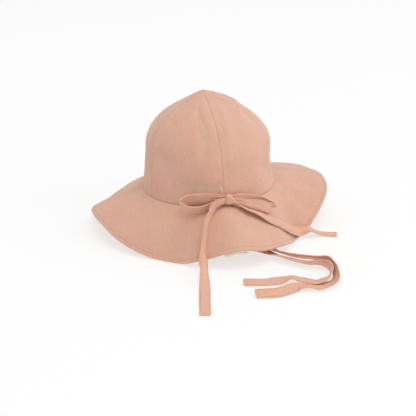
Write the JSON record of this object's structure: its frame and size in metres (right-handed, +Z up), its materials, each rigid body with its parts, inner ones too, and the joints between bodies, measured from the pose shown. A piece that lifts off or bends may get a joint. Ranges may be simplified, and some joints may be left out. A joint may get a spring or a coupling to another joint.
{
  "type": "baby sun hat",
  "caption": "Soft cloth baby sun hat with a panelled crown, a wide wavy brim, a bow at the back of the band seam and two chin ties.",
  "frame": {"origin": "the middle of the footprint of the hat itself, on the surface it lies on; the free bow tails and chin ties are left out of it", "axes": "+Z up through the crown, +Y towards the hat's front, away from the bow, +X to the right of someone behind the hat"},
  "size_m": [0.2686, 0.3562, 0.1496],
  "materials": {
    "crown_cloth": "matt woven cotton",
    "brim_cloth": "matt woven cotton, two layers",
    "bow_ribbon": "matt woven cotton, folded and stitched",
    "tie_ribbon": "matt woven cotton, folded and stitched",
    "label_tape": "matt cream tape, bare"
  },
  "bodies": {
    "root": {"crown_panel_1": "crown_cloth", "crown_panel_2": "crown_cloth", "crown_panel_3": "crown_cloth", "crown_panel_4": "crown_cloth", "crown_panel_5": "crown_cloth", "brim": "brim_cloth", "bow_knot": "bow_ribbon", "bow_loop_left": "bow_ribbon", "bow_loop_right": "bow_ribbon", "bow_tail_left": "bow_ribbon", "bow_tail_right": "bow_ribbon", "chin_tie_left": "tie_ribbon", "chin_tie_right": "tie_ribbon", "label": "label_tape"}
  },
  "joints": []
}
